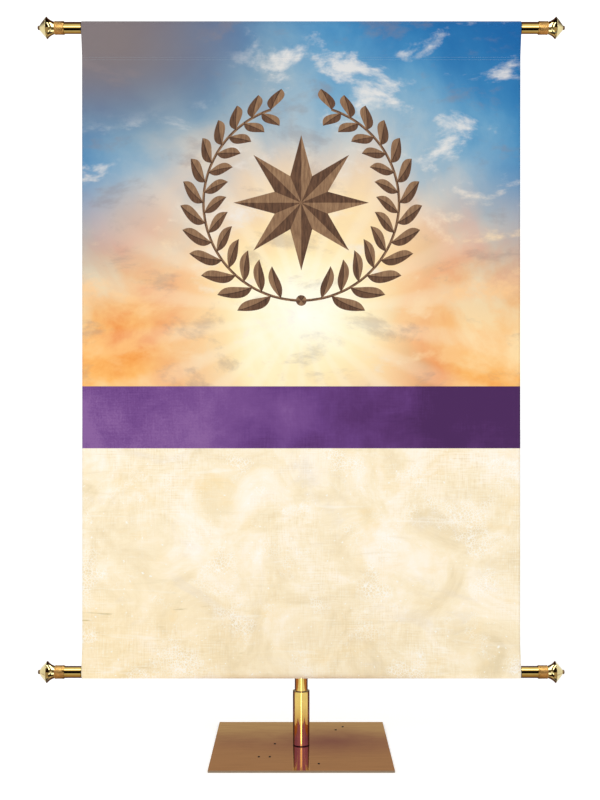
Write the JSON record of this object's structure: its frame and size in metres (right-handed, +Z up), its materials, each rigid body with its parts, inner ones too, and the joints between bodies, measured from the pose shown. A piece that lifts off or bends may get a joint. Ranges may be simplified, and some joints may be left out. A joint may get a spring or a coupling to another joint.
{
  "type": "church banner and pole stand",
  "caption": "Printed cloth banner in sleeves on brass rods with turned finials, carried by a pole that turns in the socket of a square base plate.",
  "frame": {"origin": "on the floor, under the middle of the base plate and on the pole's axis", "axes": "+Z up along the pole, +X along the rods to the banner's right as seen from the front, and the printed side faces -Y"},
  "size_m": [1.2834, 0.43, 1.7867],
  "materials": {
    "printed_cloth": "printed matt polyester, sky colours over a plum band and a parchment panel",
    "polished_brass": "mirror polished",
    "knurled_brass": "fine knurl, satin",
    "dull_brass": "dull, unpolished",
    "satin_brass": "satin polished",
    "bronzed_plate": "bronzed, polished sheet"
  },
  "bodies": {
    "stand_base": {"base_plate": "bronzed_plate", "socket": "satin_brass"},
    "upright": {"pole": "satin_brass", "rod_spacer": "satin_brass", "rod_bolt": "dull_brass", "top_rod": "polished_brass", "bottom_rod": "polished_brass", "banner_cloth": "printed_cloth", "top_left_collar": "knurled_brass", "top_right_collar": "knurled_brass", "bottom_left_collar": "knurled_brass", "bottom_right_collar": "knurled_brass", "top_left_finial": "polished_brass", "top_right_finial": "polished_brass", "bottom_left_finial": "polished_brass", "bottom_right_finial": "polished_brass", "top_left_button": "dull_brass", "top_right_button": "dull_brass", "bottom_left_button": "dull_brass", "bottom_right_button": "dull_brass"}
  },
  "joints": [
    {"name": "pole_turn", "type": "hinge", "parent": "stand_base", "child": "upright", "pos_m": [0, 0, 0.08], "axis": [0, 0, 1], "continuous": true}
  ]
}
